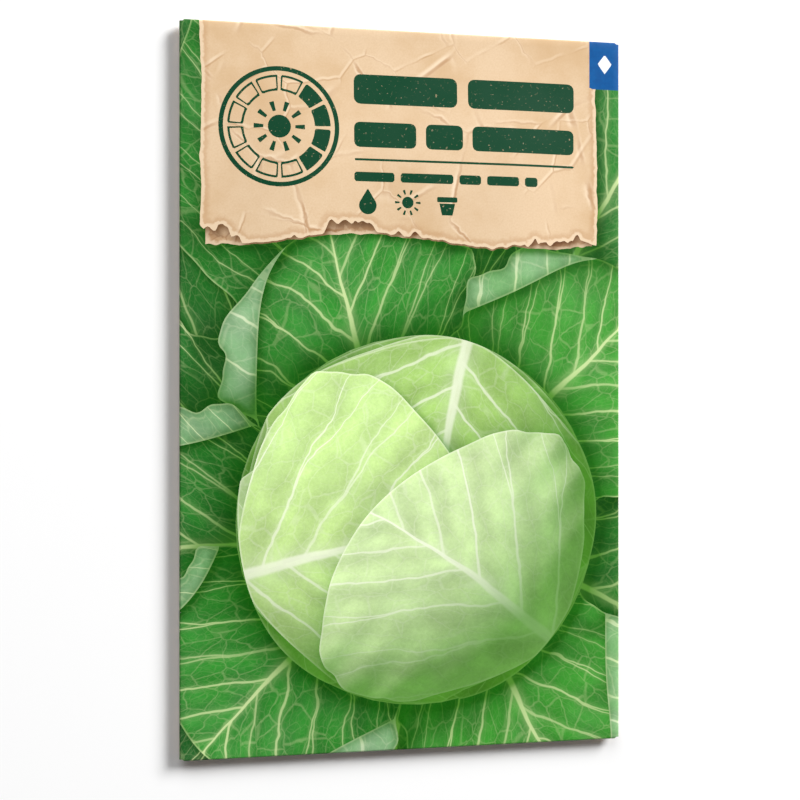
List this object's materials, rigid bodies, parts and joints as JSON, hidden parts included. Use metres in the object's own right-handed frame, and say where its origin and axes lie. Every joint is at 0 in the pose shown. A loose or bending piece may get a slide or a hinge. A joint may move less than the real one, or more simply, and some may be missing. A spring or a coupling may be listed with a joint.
{
  "type": "seed packet",
  "caption": "Flat glued paper seed packet, lying on its back, with a folded glassine bag of round cabbage seeds sealed inside it.",
  "frame": {"origin": "under the middle of the packet, on the surface that it lies on", "axes": "+X across the packet to the right of its printed front, +Y from its bottom edge to its top edge, +Z out of its printed front"},
  "size_m": [0.1, 0.16, 0.0045],
  "materials": {
    "printed_paper": "satin",
    "glue": "matte",
    "glassine": "satin",
    "seed_coat": "matte"
  },
  "bodies": {
    "root": {"packet_sheet": "printed_paper", "seam_glue": "glue", "bottom_flap_glue": "glue", "closing_flap_glue": "glue", "inner_bag": "glassine", "seed_01": "seed_coat", "seed_02": "seed_coat", "seed_03": "seed_coat", "seed_04": "seed_coat", "seed_05": "seed_coat", "seed_06": "seed_coat", "seed_07": "seed_coat", "seed_08": "seed_coat", "seed_09": "seed_coat", "seed_10": "seed_coat", "seed_11": "seed_coat", "seed_12": "seed_coat", "seed_13": "seed_coat", "seed_14": "seed_coat", "seed_15": "seed_coat", "seed_16": "seed_coat", "seed_17": "seed_coat", "seed_18": "seed_coat", "seed_19": "seed_coat", "seed_20": "seed_coat", "seed_21": "seed_coat", "seed_22": "seed_coat", "seed_23": "seed_coat", "seed_24": "seed_coat", "seed_25": "seed_coat", "seed_26": "seed_coat", "seed_27": "seed_coat", "seed_28": "seed_coat", "seed_29": "seed_coat", "seed_30": "seed_coat", "seed_31": "seed_coat", "seed_32": "seed_coat", "seed_33": "seed_coat", "seed_34": "seed_coat", "seed_35": "seed_coat", "seed_36": "seed_coat", "seed_37": "seed_coat", "seed_38": "seed_coat", "seed_39": "seed_coat", "seed_40": "seed_coat"}
  },
  "joints": []
}
